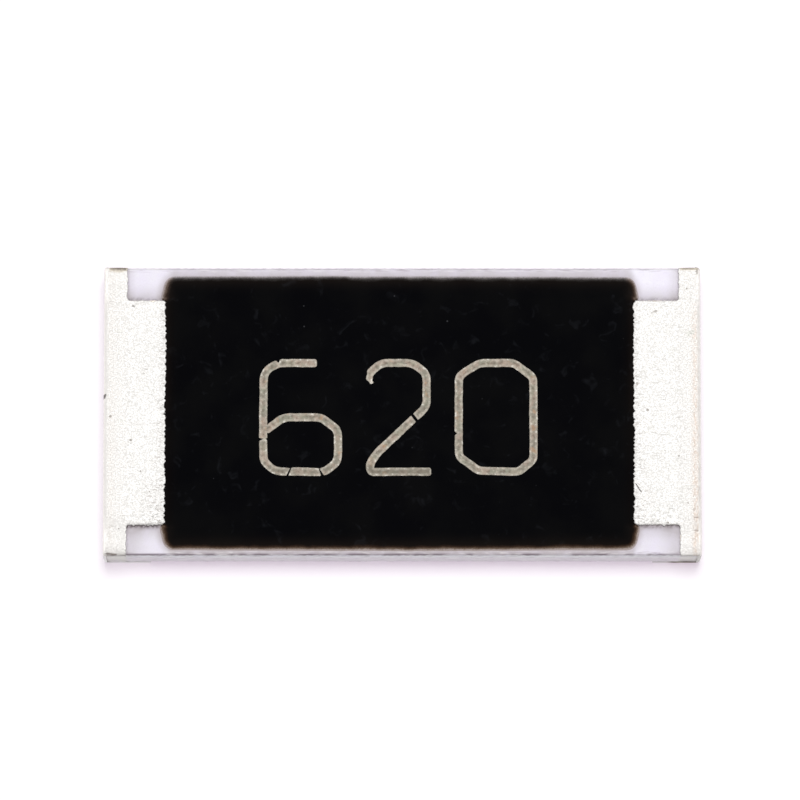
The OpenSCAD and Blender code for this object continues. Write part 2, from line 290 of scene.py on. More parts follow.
def tin_material():
    mat = Shader("matte_tin", roughness=0.6, metallic=0.6)
    grain = mat.noise(0.014, detail=4.0)
    clouds = mat.noise(0.2, shift=3.0)
    patches = mat.noise(0.24, detail=2.0, shift=8.0)
    mat.base = mat.mix(mat.step(clouds, 0.3, 0.7), TIN_DULL, TIN_PALE)
    mat.paint(mat.number("wrap"), TIN_WRAP, 0.6)
    mat.paint(mat.step(grain, 0.5, 0.75, 0.0, 0.25), srgb(192, 190, 184))

    # Short irregular flecks, most of them along the chip
    flecks = mat.noise(0.034, shift=21.0, stretch=(1.9, 0.6, 1), distortion=0.6)
    fleck = mat.times(mat.step(flecks, 0.625, 0.70), mat.step(patches, 0.4, 0.62, 0.25, 1.0))
    fleck = mat.times(fleck, mat.number("busy"))
    mat.paint(fleck, srgb(158, 154, 148), 0.42)

    # Longer dashes, in rows along the chip
    dashes = mat.noise(0.032, detail=2.0, shift=51.0, stretch=(3.6, 0.5, 1), distortion=0.4)
    dash = mat.times(mat.step(dashes, 0.62, 0.72), mat.number("busy"))
    dash = mat.times(dash, mat.step(clouds, 0.4, 0.6, 0.35, 1.0))
    mat.paint(dash, srgb(142, 138, 132), 0.42)

    # Darker ticks beside the black coat
    ticks = mat.noise(0.03, shift=5.0, stretch=(1.5, 0.5, 1), distortion=0.9)
    tick = mat.times(mat.step(ticks, 0.56, 0.66), mat.number("coat_near"))
    mat.paint(tick, srgb(128, 116, 110), 0.65)

    # Rough crystals along the lower side of the land
    crumbs = mat.noise(0.03, detail=2.0, shift=31.0, stretch=(1.5, 0.75, 1), distortion=0.8)
    dark = mat.times(mat.step(crumbs, 0.6, 0.68), mat.number("grit"))
    bright = mat.times(mat.step(crumbs, 0.42, 0.36), mat.number("grit"))
    mat.paint(dark, srgb(124, 126, 124), 0.58)
    mat.paint(bright, (0.68, 0.68, 0.67), 0.7)

    # Wide pale smears
    smears = mat.noise(0.1, shift=41.0, stretch=(1.2, 0.8, 1))
    mat.paint(mat.step(smears, 0.6, 0.72, 0.0, 0.3), srgb(180, 180, 174))

    # Scattered pits
    distance, chance = mat.cells(0.11, shift=2.0)
    size = mat.step(chance, 0.6, 1.0, 0.0, 0.16)
    pit = mat.step(mat.minus(size, distance), 0.0, 0.06)
    mat.paint(pit, srgb(120, 112, 104), 0.7)

    # Painted highlight, paler and more metallic, where the tin turns over the end, and warm speckles there
    mat.paint(mat.number("turn"), TIN_TURN_HIGHLIGHT)
    speckle = mat.noise(0.035, detail=2.0, shift=11.0, stretch=(0.6, 1.5, 1))
    warm = mat.times(mat.number("worn"), mat.step(speckle, 0.44, 0.62, 0.3, 1.0))
    mat.paint(warm, TIN_WORN, 0.55)

    # Painted shade where the tin rolls down at the near side and along the land's edges
    mat.paint(mat.number("roll"), srgb(88, 80, 78))

    # Single marks, and dark bands along the cut edges, part burrs and part painted shade, with a yellowish
    # discolouring beside them
    fray = mat.times(mat.minus(crumbs, 0.5), 2.6)
    upper = mat.step(mat.height(), TIN_HIGH[2] - MARKS_FADE[0], TIN_HIGH[2] - MARKS_FADE[1])
    for place, half_size, turn, color, strength in TIN_MARKS:
        mark = mat.times(mat.spot(place, half_size, math.radians(turn), fray), upper)
        mat.paint(mark, srgb(*color), strength)
    mat.paint(mat.step(mat.number("burr_and_shade"), 0.0, 0.35, 0.0, 0.6), srgb(206, 196, 176))
    mat.paint(mat.number("burr_and_shade"), srgb(74, 62, 54))
    # Painted light on the lip along the lower side edges: paler, and not metallic
    mat.paint(mat.number("lip_light"), srgb(240, 234, 238))
    # Metallic share: raised on the turn for its painted highlight, and taken away on the lip for its painted
    # light
    metal = mat.step(mat.number("turn"), 0.0, 1.0, 0.6, 1.0)
    mat.set("Metallic", mat.times(metal, mat.minus(1.0, mat.number("lip_light"))))
    mat.set("Roughness", mat.step(grain, 0.3, 0.7, 0.5, 0.68))
    marks = mat.times(mat.plus(fleck, tick), 0.7)
    marks = mat.plus(mat.plus(pit, marks), dark)
    mat.relief(mat.minus(grain, marks), 0.001)
    return mat.material


def ceramic_material():
    mat = Shader("white_alumina", roughness=0.62, specular=0.3)
    clouds = mat.noise(0.12, shift=1.0)
    grain = mat.noise(0.012, shift=4.0)
    streaks = mat.noise(0.022, shift=14.0, stretch=(6, 0.8, 0.8))
    mat.base = mat.mix(mat.step(clouds, 0.3, 0.7), srgb(243, 238, 253), srgb(247, 244, 254))
    mat.paint(mat.step(grain, 0.45, 0.8, 0.0, 0.3), srgb(222, 216, 226))
    # Painted shade beside the coat, the lands and the wraps, and along the near strip and groove
    border_shade = mat.times(mat.number("border_shade"), mat.step(clouds, 0.2, 0.7, 0.75, 1.0))
    mat.paint(border_shade, srgb(184, 176, 180))
    mat.paint(mat.number("snapped"), srgb(212, 198, 210))
    streak = mat.times(mat.step(streaks, 0.52, 0.66), mat.number("streaky"))
    mat.paint(streak, srgb(170, 156, 166), 0.55)
    light = mat.times(mat.step(streaks, 0.46, 0.36), mat.number("streaky"))
    mat.paint(light, srgb(250, 246, 246), 0.5)
    # Dark line along the top of the grooves
    mat.paint(mat.number("groove_top_dark"), srgb(104, 90, 100))
    mat.paint(mat.number("smear"), srgb(226, 220, 218))
    # Dark lines along the land and wrap borders, part residue and part painted shade, and painted shade low
    # on the near wall beside the wraps
    mat.paint(mat.number("residue_and_shade"), srgb(92, 80, 84))
    mat.relief(grain, 0.002)
    return mat.material


def coat_material():
    mat = Shader("black_resin", roughness=0.55, specular=0.008)
    clouds = mat.noise(0.5, detail=4.0, shift=2.0)
    grain = mat.noise(0.015, shift=6.0)
    mat.base = mat.mix(mat.step(clouds, 0.35, 0.7), srgb(4, 4, 6), srgb(8, 8, 9))

    # Faint smudges and pale specks of dust and ink
    smudges = mat.noise(0.13, detail=5.0, shift=16.0, distortion=0.8)
    mat.paint(mat.step(smudges, 0.58, 0.8, 0.0, 0.16), srgb(52, 54, 60))
    distance, chance = mat.cells(0.19, shift=9.0)
    size = mat.step(chance, 0.62, 1.0, 0.0, 0.075)
    speck = mat.step(mat.minus(size, distance), 0.0, 0.04)
    mat.paint(speck, srgb(92, 92, 96), 0.35)

    # The coat thins out at its free rim, and the ceramic shows through it
    mat.paint(mat.number("halo"), srgb(46, 37, 31), 0.45)
    waver = mat.times(mat.minus(grain, 0.5), 0.3)
    rim = mat.plus(mat.number("rim"), waver)
    warm = mat.number("warm")
    dark = mat.mix(warm, srgb(50, 47, 46), srgb(50, 36, 28))
    middle = mat.mix(warm, srgb(112, 106, 106), srgb(104, 87, 74))
    pale = mat.mix(warm, srgb(202, 196, 201), srgb(192, 179, 176))
    mat.paint(mat.step(rim, 0.15, 0.5), dark)
    mat.paint(mat.step(rim, 0.42, 0.75), middle)
    mat.paint(mat.step(rim, 0.65, 1.0), pale)
    mat.relief(grain, 0.0012)
    return mat.material


def ink_material():
    mat = Shader("marking_ink", roughness=0.7, specular=0.2)
    patches = mat.noise(0.1, shift=3.0)
    tints = mat.noise(0.13, detail=2.0, shift=12.0)
    grain = mat.noise(0.043, shift=7.0)
    specks = mat.noise(0.03, detail=2.0, shift=17.0)
    mat.base = mat.mix(mat.step(patches, 0.42, 0.56), srgb(144, 138, 125), srgb(168, 152, 138))
    mat.paint(mat.step(tints, 0.5, 0.6, 0.0, 0.5), srgb(148, 150, 132))
    mat.paint(mat.step(grain, 0.49, 0.35, 0.0, 0.6), srgb(112, 100, 88))
    mat.paint(mat.step(grain, 0.54, 0.66, 0.0, 0.55), srgb(200, 190, 174))
    rusty = mat.noise(0.085, detail=2.0, shift=27.0)
    mat.paint(mat.step(rusty, 0.6, 0.7, 0.0, 0.6), srgb(180, 146, 116))
    mat.paint(mat.number("dim"), srgb(112, 106, 94))
    rim = mat.times(mat.number("edge"), mat.step(specks, 0.38, 0.6, 0.35, 1.0))
    mat.paint(rim, srgb(204, 197, 184), 0.7)
    glint = mat.times(mat.number("edge"), mat.step(specks, 0.62, 0.68))
    mat.paint(glint, srgb(244, 240, 230), 0.8)
    mat.relief(grain, 0.003)
    return mat.material


def plain_material(name, light, dark, roughness, metallic, size):
    """A matte layer with mottled screen colours and fine grain, for the layers that hardly show."""
    mat = Shader(name, roughness, metallic)
    clouds = mat.noise(size, detail=4.0)
    mat.set("Base Color", mat.mix(mat.step(clouds, 0.35, 0.65), srgb(*dark), srgb(*light)))
    mat.relief(clouds, 0.0015)
    return mat.material


# Ends: tin plating

WRAP_L = {"left": 0.249, "right": 0.218}
END_REACH = {"left": 0.004, "right": 0.014}
PLAN_R = {"left": 0.034, "right": 0.045}
SECTION_START = 0.05
SECTION_R = 0.031

# Outline: fingers over the coat, the land's sides and corners, and the steps between its points
FINGER_LENGTH = 0.016
FINGER_PITCH = 0.072
LAND_TRIM = 0.01
LAND_RAGGED = {"left": 2.1, "right": 2.8}
LAND_INWARD = 0.001
INNER_R = 0.03
OUTER_R = 0.034
FAR_TRIM = 0.008
SIDE_TRIM = 0.002
EDGE_STEP = 0.011
SIDE_STEP = 0.03

# Surface: rounded rim, rings of points beside it, grid steps, and the shell's thickness inside and at rims
RIM_ROUND = 0.008
RIM_DROP = 0.8
TIN_RINGS = (0.35 * RIM_ROUND, RIM_ROUND, 0.018, 0.031)
TIN_FILL_GAP = 0.042
TOP_STEP = 0.024
END_STEP = 0.045
SHELL_T = 0.009
RIM_T = 0.02
SIDE_RIM_T = 0.028
LIP_HEIGHT = 0.062
LIP_LEAN = 0.0075
BARE_STEP = 0.012
BEAD = 0.003

# Worn band along the turn: its distance from the chip's end, half width and strength
WORN = {"left": (0.085, 0.032, 0.45), "right": (0.064, 0.032, 2.6)}

# Dark edge bands, part burr and part painted shade: width, strength, start and stop from the end at the far
# edge, and strength of the painted shade lower down
BURRS_AND_SHADE = {
    "left": (0.05, 0.86, (0.05, 0.24), 0.0),
    "right": (0.042, 0.6, (0.005, 0.2), 0.75),
}

# Strength of the painted shade at the near side and along the land's edges, and of the painted light on the
# lip and its loss towards the end
NEAR_ROLL_SHADE = {"left": 1.0, "right": 0.72}
LAND_ROLL_SHADE = {"left": 0.42, "right": 0.2}
LIP_LIGHT = {"left": (0.9, 0.0), "right": (0.75, 0.75)}


class EndSection:
    """The lengthwise section of an end's tin, unrolled from the top's inner end to the underside."""

    def __init__(self, inner_x, outer_x):
        self.inner_x = inner_x
        self.outer_x = outer_x
        self.radius = SECTION_R
        self.high = TIN_HIGH[2]
        self.top = outer_x - self.radius - inner_x
        self.arc = self.radius * math.pi / 2
        self.drop = self.high - 2 * self.radius
        self.under = outer_x - self.radius - (BACK_LOW[0] - TIN_GROW)
        self.ends = np.cumsum([self.top, self.arc, self.drop, self.arc, self.under])
        self.length = self.ends[-1]

    def at(self, along):
        """Place and outward normal in the section, as x, z, normal x and normal z."""
        s = np.asarray(along, float)
        radius, ends = self.radius, self.ends
        arc_x, arc_z = self.outer_x - radius, self.high - radius
        first, second = (s - ends[0]) / radius, (s - ends[2]) / radius
        sin1, cos1, sin2, cos2 = np.sin(first), np.cos(first), np.sin(second), np.cos(second)
        zone = np.searchsorted(ends, s)
        zones = [zone == 0, zone == 1, zone == 2, zone == 3]
        xs = [self.inner_x + s, arc_x + radius * sin1, self.outer_x, arc_x + radius * cos2]
        zs = [self.high, arc_z + radius * cos1, arc_z - (s - ends[1]), radius - radius * sin2]
        x = np.select(zones, xs, arc_x - (s - ends[3]))
        z = np.select(zones, zs, 0.0)
        nx = np.select(zones, [0.0, sin1, 1.0, cos2], 0.0)
        nz = np.select(zones, [1.0, cos1, 0.0, -sin2], -1.0)
        return x, z, nx, nz


def tin_half_width(z):
    """Half the tinned end's width at a level."""
    return side_half_width(z) + TIN_GROW


def wrap_start(section, end):
    """Where the wrap's edge lies along the unrolled section."""
    return CHIP_HALF_L - WRAP_L[end] - section.inner_x


def scallops(y, seed):
    """Ragged inner edge of the tin: rounded fingers that reach over the black coat."""
    phase = y / FINGER_PITCH + 0.9 * ripple(y, 0, 0.11, seed)
    fingers = np.abs(np.sin(math.pi * phase))
    roughness = ripple(y, 1, 0.03, seed + 1) * 0.5 + ripple(y, 2, 0.4, seed + 2) * 0.35
    return FINGER_LENGTH * (fingers + roughness)


def inside(points, outline):
    """Whether each point lies in the closed outline."""
    x, y = points[:, 0][:, None], points[:, 1][:, None]
    x0, y0 = outline[:, 0][None], outline[:, 1][None]
    x1, y1 = np.roll(outline[:, 0], -1)[None], np.roll(outline[:, 1], -1)[None]
    rise = np.where(y1 == y0, 1e-12, y1 - y0)
    crossing = ((y0 > y) != (y1 > y)) & (x < (x1 - x0) * (y - y0) / rise + x0)
    return crossing.sum(1) % 2 == 1


def segment_distance(points, start, end):
    """Distance of each point from the nearest of the segments."""
    side = end - start
    length2 = np.maximum((side ** 2).sum(1), 1e-12)
    best = np.empty(len(points))
    block = 800
    for i in range(0, len(points), block):
        rel = points[i:i + block, None, :] - start[None]
        t = np.clip((rel * side[None]).sum(2) / length2[None], 0, 1)
        gap = rel - t[:, :, None] * side[None]
        best[i:i + block] = np.sqrt((gap ** 2).sum(2).min(1))
    return best


def outline_distance(points, outline):
    """Distance of each point from the nearest of the closed outline's sides."""
    return segment_distance(points, outline, np.roll(outline, -1, axis=0))


def inset_ring(outline, distance):
    """Points beside the outline's corners, the given distance inside it, kept where they don't crowd."""
    ahead = np.roll(outline, -1, axis=0) - np.roll(outline, 1, axis=0)
    ahead /= np.maximum(np.linalg.norm(ahead, axis=1), 1e-9)[:, None]
    ring = outline + distance * np.stack([-ahead[:, 1], ahead[:, 0]], axis=1)
    return ring[inside(ring, outline) & (outline_distance(ring, outline) > 0.8 * distance)]


def grid_points(low, high, step, rng):
    """Slightly shuffled grid of points in a rectangle."""
    xs = np.arange(low[0] + step / 2, high[0], step)
    ys = np.arange(low[1] + step / 2, high[1], step)
    grid = np.stack(np.meshgrid(xs, ys), axis=-1).reshape(-1, 2)
    return grid + rng.uniform(-0.22, 0.22, grid.shape) * step


def triangulate(outline, extra):
    """Triangles that fill a closed outline through the extra points."""
    points = [Vector(p) for p in outline.tolist() + extra.tolist()]
    verts, _, faces, _, _, _ = delaunay_2d_cdt(points, [], [list(range(len(outline)))], 1, 1e-7)
    return np.array([(v.x, v.y) for v in verts]), [list(f) for f in faces]


def open_sides(triangles):
    """The triangles' sides that no other triangle shares."""
    sides = dict.fromkeys(pair for a, b, c in triangles for pair in ((a, b), (b, c), (c, a)))
    return [pair for pair in sides if pair[::-1] not in sides]


def close_shell(outer, inner, triangles):
    """Joins an outer surface to the inner one that has the same triangles, into one closed shell."""
    count = len(outer)
    faces = [list(t) for t in triangles]
    faces += [[c + count, b + count, a + count] for a, b, c in triangles]
    faces += [[b, a, a + count, b + count] for a, b in open_sides(triangles)]
    return np.concatenate([outer, inner]), faces


def tin_outline(end, section, seed):
    """Outline of the unrolled tin: along the section, and across the chip."""
    low_y, high_y = PRINT_Y - LAND_HALF_W + LAND_TRIM, PRINT_Y + LAND_HALF_W - LAND_TRIM
    half_top, half_under = tin_half_width(section.high), tin_half_width(0)
    wrap = wrap_start(section, end)
    land = COAT_EDGE_X[end] - section.inner_x

    def wrap_edge(y):
        return wrap + 0.008 * ripple(y, 3, 0.09, seed + 3) + 0.009 * ripple(y, 4, 0.028, seed + 4)

    def land_side(along):
        return 0.008 * ripple(along, 5, 0.07, seed + 5) + 0.007 * ripple(along, 6, 0.025, seed + 6)

    first = np.arange(-half_top, low_y - INNER_R, EDGE_STEP)
    along = np.arange(wrap - INNER_R - EDGE_STEP, land, -EDGE_STEP)
    across = np.arange(low_y, high_y, EDGE_STEP)
    last = np.arange(high_y + INNER_R + EDGE_STEP, half_top, EDGE_STEP)
    turn = np.linspace(0.15, math.pi / 2 - 0.15, 4)
    corner_x = wrap - INNER_R + INNER_R * np.cos(turn)
    corner_y = INNER_R * (1 - np.sin(turn))
    from_side = np.clip(1 - np.minimum(across - low_y, high_y - across) / OUTER_R, 0, 1)
    corner_cut = OUTER_R * (1 - np.sqrt(1 - from_side ** 2))
    lengthwise = np.arange(wrap, section.length, SIDE_STEP)
    bottom = np.arange(half_under, -half_under, -SIDE_STEP)
    half_w = tin_half_width(section.at(lengthwise)[1]) - SIDE_TRIM
    wave_far = 0.003 * ripple(lengthwise, 7, 0.12, seed + 7) - 0.001
    wave_far -= FAR_TRIM * fall(lengthwise, section.ends[0], section.ends[1])
    wave_near = 0.003 * ripple(lengthwise, 8, 0.12, seed + 9) - 0.001
    parts = [
        (wrap_edge(first), first),
        (corner_x, low_y - corner_y),
        (along, low_y + np.minimum(LAND_RAGGED[end] * land_side(along), LAND_INWARD)),
        (land + corner_cut - scallops(across, seed), across),
        (along[::-1], high_y + land_side(along[::-1] + 9)),
        (corner_x[::-1], high_y + corner_y[::-1]),
        (wrap_edge(last), last),
        (lengthwise, half_w + wave_far),
        (section.length + 0.004 * ripple(bottom, 8, 0.1, seed + 8), bottom),
        (lengthwise[:0:-1], (-half_w - wave_near)[:0:-1]),
    ]
    return np.concatenate([np.stack(part, axis=1) for part in parts])[::-1]


def round_corners_in_plan(x, y, z, outer_x, half_y, radius):
    """Points, with those that lie outside the rounded vertical corners of the end drawn in to them."""
    in_x, in_y = np.abs(x) - (outer_x - radius), np.abs(y) - (half_y - radius)
    reach = np.maximum(np.hypot(in_x, in_y), 1e-9)
    pull = np.where((in_x > 0) & (in_y > 0), np.minimum(radius / reach, 1) - 1, 0)
    return np.stack([x + np.sign(x) * in_x * pull, y + np.sign(y) * in_y * pull, z], axis=1)


def patchy_roll_shade(along, y, seed):
    """Uneven strength of the painted edge shade, from about 0.4 to 1."""
    return 0.4 + 0.6 * smooth(ripple(along, y, 0.05, seed + 23), -0.8, 0.3)


def build_tin(end, material):
    """Tin plating of one end, with ragged inner edges, rounded rims and a slightly uneven surface."""
    side = {"left": -1, "right": 1}[end]
    seed = {"left": 10, "right": 30}[end]
    rng = np.random.default_rng(seed)
    section = EndSection(COAT_EDGE_X[end] - SECTION_START, CHIP_HALF_L + END_REACH[end])
    outline = tin_outline(end, section, seed)
    half_w = TIN_HIGH[1]
    fill = np.concatenate([
        grid_points((0, -half_w), (section.ends[1], half_w), TOP_STEP, rng),
        grid_points((section.ends[1], -half_w), (section.length, half_w), END_STEP, rng),
    ])
    fill = fill[inside(fill, outline)]
    fill = fill[outline_distance(fill, outline) > TIN_FILL_GAP]
    rings = [inset_ring(outline, d) for d in TIN_RINGS]
    flat, triangles = triangulate(outline, np.concatenate([*rings, fill]))
    along, y = flat[:, 0], flat[:, 1]
    gap = outline_distance(flat, outline)
    x, z, nx, nz = section.at(along)

    on_top = fall(along, section.ends[0], section.ends[1])
    off_land = smooth(np.abs(y - PRINT_Y), LAND_HALF_W - 0.12, LAND_HALF_W + 0.1)
    wrap_at = wrap_start(section, end)
    before_wrap = fall(along, wrap_at - 0.012, wrap_at + 0.018)
    ramp = fall(along, wrap_at - 0.07, wrap_at + 0.09)
    ramp = np.where(np.abs(y - PRINT_Y) < LAND_HALF_W - 0.03, ramp, before_wrap)
    step_down = (section.high - LAND_Z) * ramp + BARE_STEP * off_land * (1 - ramp)
    lift = -step_down * on_top
    lift += 0.0014 * ripple(along, y, 0.14, seed + 20) + 0.0007 * ripple(along, y, 0.045, seed + 21)
    inner_edge = on_top * before_wrap * (np.abs(y - PRINT_Y) < LAND_HALF_W + 0.01)
    bead = BEAD * inner_edge * fall(gap, 0.012, 0.05)
    away = np.clip(1 - gap / RIM_ROUND, 0, 1)
    lift += bead - RIM_ROUND * (1 - np.sqrt(1 - away ** 2)) * RIM_DROP

    half_y = tin_half_width(z)
    corner = section.outer_x, half_y, PLAN_R[end]
    outer = round_corners_in_plan(side * (x + nx * lift), y, np.maximum(z + nz * lift, 0), *corner)
    rim_t = np.where(np.abs(y) > half_w - 0.03, SIDE_RIM_T, RIM_T)
    rim_t = np.where(along > section.ends[3], LIP_HEIGHT, rim_t)
    depth = SHELL_T + (rim_t - SHELL_T) * fall(gap, 0.0, 0.03) + END_REACH[end] * nx
    lift_in = lift - depth
    lean = np.sign(y) * LIP_LEAN * (along > section.ends[3]) * (gap < 0.001)
    inner = round_corners_in_plan(side * (x + nx * lift_in), y - lean, z + nz * lift_in, *corner)
    if side < 0:
        triangles = [t[::-1] for t in triangles]
    points, faces = close_shell(outer, inner, triangles)

    low_down = smooth(-y, 0.2, 1.1)
    near = fall(along, 0.06, 0.16 + 0.25 * low_down)
    coat_near = on_top * before_wrap * near * (0.7 + 0.3 * low_down)
    # Where the tin turns over the end, which gets a painted highlight
    up_turn = smooth(along, section.ends[0] - 0.006, section.ends[0] + 0.03)
    down_turn = fall(along, section.ends[1] - 0.01, section.ends[1] + 0.04)
    turn = up_turn * down_turn
    worn_at, worn_w, worn_share = WORN[end]
    worn = worn_share * np.exp(-((section.outer_x - x - worn_at) / worn_w) ** 2)
    worn *= fall(along, *section.ends[1:3]) * (0.65 + 0.35 * smooth(-y, -0.6, 0.6))
    worn *= smooth(-y, -1.25, -0.95) if end == "right" else 1.0
    from_side = half_y - np.abs(y)
    from_end = CHIP_HALF_L - x
    band_w, strength, span, under = BURRS_AND_SHADE[end]
    in_span = smooth(from_end, span[0] - 0.01, span[0] + 0.01)
    in_span *= fall(from_end, span[1] - 0.01, span[1] + 0.01)
    # Dark band along the far edge near the end, part burr and part painted shade
    far_burr_and_shade = (y > 0) * strength * in_span * fall(from_side, 0.6 * band_w, 1.05 * band_w)
    # Painted shade where the tin's edge rolls down at the near side and along the land
    near_roll_shade = 0.2 * fall(from_side, 0.02, 0.16) + 0.42 * fall(from_side, 0.004, 0.045)
    near_roll_shade *= (y < 0) * NEAR_ROLL_SHADE[end]
    land_edge = y - PRINT_Y + LAND_HALF_W - LAND_TRIM
    land_roll_shade = LAND_ROLL_SHADE[end] * before_wrap * fall(np.abs(land_edge), 0.004, 0.03)
    roll = patchy_roll_shade(along, y, seed) * on_top * (near_roll_shade + land_roll_shade)
    # Painted shade along the lower side edges, strongest along the underside
    low_edge_shade = np.where(along > section.ends[2], under, 0.06) * fall(from_side, 0, 0.02)
    # Painted light on the lip, along the side edges past the upper turn
    lip_light = (along > section.ends[1]) * fall(from_side, 0.01, 0.03)
    lip_light = lip_light * (LIP_LIGHT[end][0] - LIP_LIGHT[end][1] * smooth(x, 2.78, 2.92))
    patchy = 0.5 + 0.5 * smooth(ripple(along, y, 0.1, seed + 22), -0.7, 0.0)
    burr_and_shade = patchy * (on_top * far_burr_and_shade + (1 - on_top) * low_edge_shade)
    busy = on_top * (0.6 + 0.4 * before_wrap)
    grit = on_top * before_wrap * smooth(PRINT_Y - y, LAND_HALF_W - 0.35, LAND_HALF_W - 0.05)
    grit *= 0.4 + 0.6 * fall(along, 0.1, 0.4) if end == "left" else 0.8
    wrap = smooth(along, wrap_at - 0.1, wrap_at + 0.1)
    floats = {
        "coat_near": coat_near, "turn": turn, "worn": worn, "burr_and_shade": burr_and_shade, "roll": roll,
        "busy": busy, "grit": grit, "wrap": wrap, "lip_light": lip_light,
    }
    piece = make_mesh(f"tin_cap_{end}", points, faces, material, floats)
    for polygon in piece.data.polygons:
        if len(polygon.vertices) == 4 and polygon.center.z < (section.high - section.radius) * MM:
            polygon.use_smooth = False
    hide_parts(f"tin_plating_{end}")
    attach(piece, "root")
    return piece


# Black coat

COAT_CORNER_R = 0.125
COAT_SHOULDER = 0.1
UNDER_TIN = 0.02
RIM_FADE = 0.078
RIM_OUT = 0.018
LOW_SPREAD = 0.01
HIGH_SPREAD = 0.009
LAND_FLARE = {"left": 0.028, "right": 0.022}
END_SPREAD = {"left": 0.0, "right": 0.012}
COAT_RINGS = (0.006, 0.013, 0.022, 0.033, 0.046, 0.062, 0.084, 0.11)
COAT_FILL_GAP = 0.13
COAT_STEP = 0.05
LAND_COAT_T = 0.0195
COAT_X = (COAT_LOW[0] + COAT_HIGH[0]) / 2


def rounded_box_distance(x, y, half_x, half_y, radius):
    """Signed distance from a rounded rectangle about the origin, positive outside."""
    qx, qy = np.abs(x) - (half_x - radius), np.abs(y) - (half_y - radius)
    outside = np.hypot(np.maximum(qx, 0), np.maximum(qy, 0))
    return outside + np.minimum(np.maximum(qx, qy), 0) - radius


def coat_half():
    return (COAT_HIGH[0] - COAT_LOW[0]) / 2, (COAT_HIGH[1] - COAT_LOW[1]) / 2


def by_end(x, values):
    """The left or the right end's value at each point."""
    return np.where(x > 0, values["right"], values["left"])


def coat_outline():
    """Wavy rounded rectangle, drawn out under the tin at both ends."""
    half_x, half_y = coat_half()
    radius = COAT_CORNER_R
    corner = [
        (half_x - radius + radius * math.cos(a), half_y - radius + radius * math.sin(a))
        for a in np.linspace(0, math.pi / 2, 22)
    ]
    step = 0.02
    end_y = np.arange(0, corner[0][1], step)
    side_x = np.arange(corner[-1][0], 0, -step)[1:]
    quarter = [(half_x, y) for y in end_y] + corner + [(x, half_y) for x in side_x]
    quarter = np.array(quarter)
    others = [quarter[::-1] * (-1, 1), quarter * (-1, -1), quarter[::-1] * (1, -1)]
    outline = np.concatenate([quarter, *(part[1:] for part in others)])
    x, y = outline[:, 0], outline[:, 1]
    wave = 0.004 * ripple(x, y, 0.3, 51) + 0.0022 * ripple(x, y, 0.07, 52)
    length = np.hypot(x, y)
    outline = outline * (1 + (wave + RIM_OUT) / length)[:, None]
    at_end = np.abs(x) > half_x - 0.05
    on_land = smooth(LAND_HALF_W - np.abs(y), -0.01, 0.02) * at_end
    flare = fall(np.abs(y) - LAND_HALF_W, 0, 0.15) * (1 - on_land) * at_end
    end_spread = by_end(x, END_SPREAD) * smooth(np.abs(x), half_x - 0.12, half_x - 0.06)
    spread = on_land * (UNDER_TIN - RIM_OUT) + flare * by_end(x, LAND_FLARE) + (1 - on_land) * end_spread
    outline[:, 0] += np.sign(x) * spread
    outline[:, 1] -= LOW_SPREAD * smooth(-y, half_y - 0.1, half_y)
    outline[:, 1] += HIGH_SPREAD * smooth(y, half_y - 0.1, half_y) * (1 - 0.8 * smooth(x, -1.0, -0.2))
    return outline


def build_coat(material):
    """Black protective coat with slumped, feathered edges that the tin's fingers reach over."""
    rng = np.random.default_rng(50)
    half_x, half_y = coat_half()
    outline = coat_outline()
    rings = [inset_ring(outline, d) for d in COAT_RINGS]
    fill = grid_points((-half_x, -half_y), (half_x, half_y), COAT_STEP, rng)
    fill = fill[outline_distance(fill, outline) > COAT_FILL_GAP]
    flat, triangles = triangulate(outline, np.concatenate([*rings, fill]))
    x, y = flat[:, 0], flat[:, 1]
    gap = outline_distance(flat, outline)
    full = COAT_HIGH[2] - TOP_Z

    reach = np.clip(gap / COAT_SHOULDER, 0, 1)
    free_height = full * np.sqrt(1 - (1 - reach) ** 2)
    land_height = LAND_COAT_T + (full - LAND_COAT_T) * smooth(gap, UNDER_TIN, UNDER_TIN + COAT_SHOULDER)
    at_land = smooth(LAND_HALF_W - np.abs(y), -0.01, 0.02) * smooth(np.abs(x), half_x - 0.16, half_x - 0.13)
    height = free_height * (1 - at_land) + land_height * at_land
    inward = smooth(gap, 0.02, 0.2)
    height += inward * (0.0012 * ripple(x, y, 0.35, 53) + 0.0006 * ripple(x, y, 0.09, 54) - 0.0006)
    outer = np.stack([x + COAT_X, y + PRINT_Y, TOP_Z + np.maximum(height, 0.0006)], axis=1)
    inner = np.stack([x + COAT_X, y + PRINT_Y, np.full(len(x), TOP_Z + 0.0002)], axis=1)
    points, faces = close_shell(outer, inner, triangles)
    at_end = smooth(np.abs(x), half_x - 0.12, half_x - 0.02)
    fade = RIM_FADE * (1 + 0.25 * ripple(x, y, 0.15, 55)) * np.where(y < 0, 0.92, 1.0)
    fade *= 1 + np.where(x < 0, 0.25, 0.1) * at_end
    rim = (1 - np.clip(gap / fade, 0, 1)) * (1 - at_land)
    halo = (1 - np.clip(gap / 0.2, 0, 1)) ** 2 * (1 - 0.6 * at_land) * (1 + 0.8 * at_end * (y > 0))
    warm = np.clip(fall(y, -0.6, 0.6) + 0.8 * at_end, 0, 1)
    piece = make_mesh("black_coat_skin", points, faces, material, {"rim": rim, "halo": halo, "warm": warm})
    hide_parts("black_coat")
    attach(piece, "root")
    return piece


# Ceramic

PIT_PITCH = 0.085
CHIP_IN, CHIP_DOWN = 0.005, 0.003


